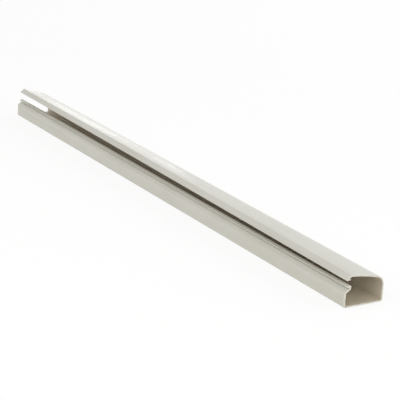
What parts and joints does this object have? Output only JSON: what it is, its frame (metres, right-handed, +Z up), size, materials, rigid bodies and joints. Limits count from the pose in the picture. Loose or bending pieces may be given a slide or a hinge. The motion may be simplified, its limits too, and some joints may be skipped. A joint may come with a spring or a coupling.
{
  "type": "cord cover raceway",
  "caption": "One-piece latching cord cover raceway: ivory plastic channel, 19 mm wide and 305 mm long, its hinged cover sprung slightly open along the front.",
  "frame": {"origin": "centre of the flat underside, midway along the length", "axes": "+Z up, out of the wall or floor it is fixed to; +Y along the length, from the less open end to the more open one; +X from the latch side to the hinge side"},
  "size_m": [0.019, 0.3048, 0.0149],
  "materials": {
    "pvc": "satin"
  },
  "bodies": {
    "root": {"raceway_channel": "pvc"}
  },
  "joints": []
}
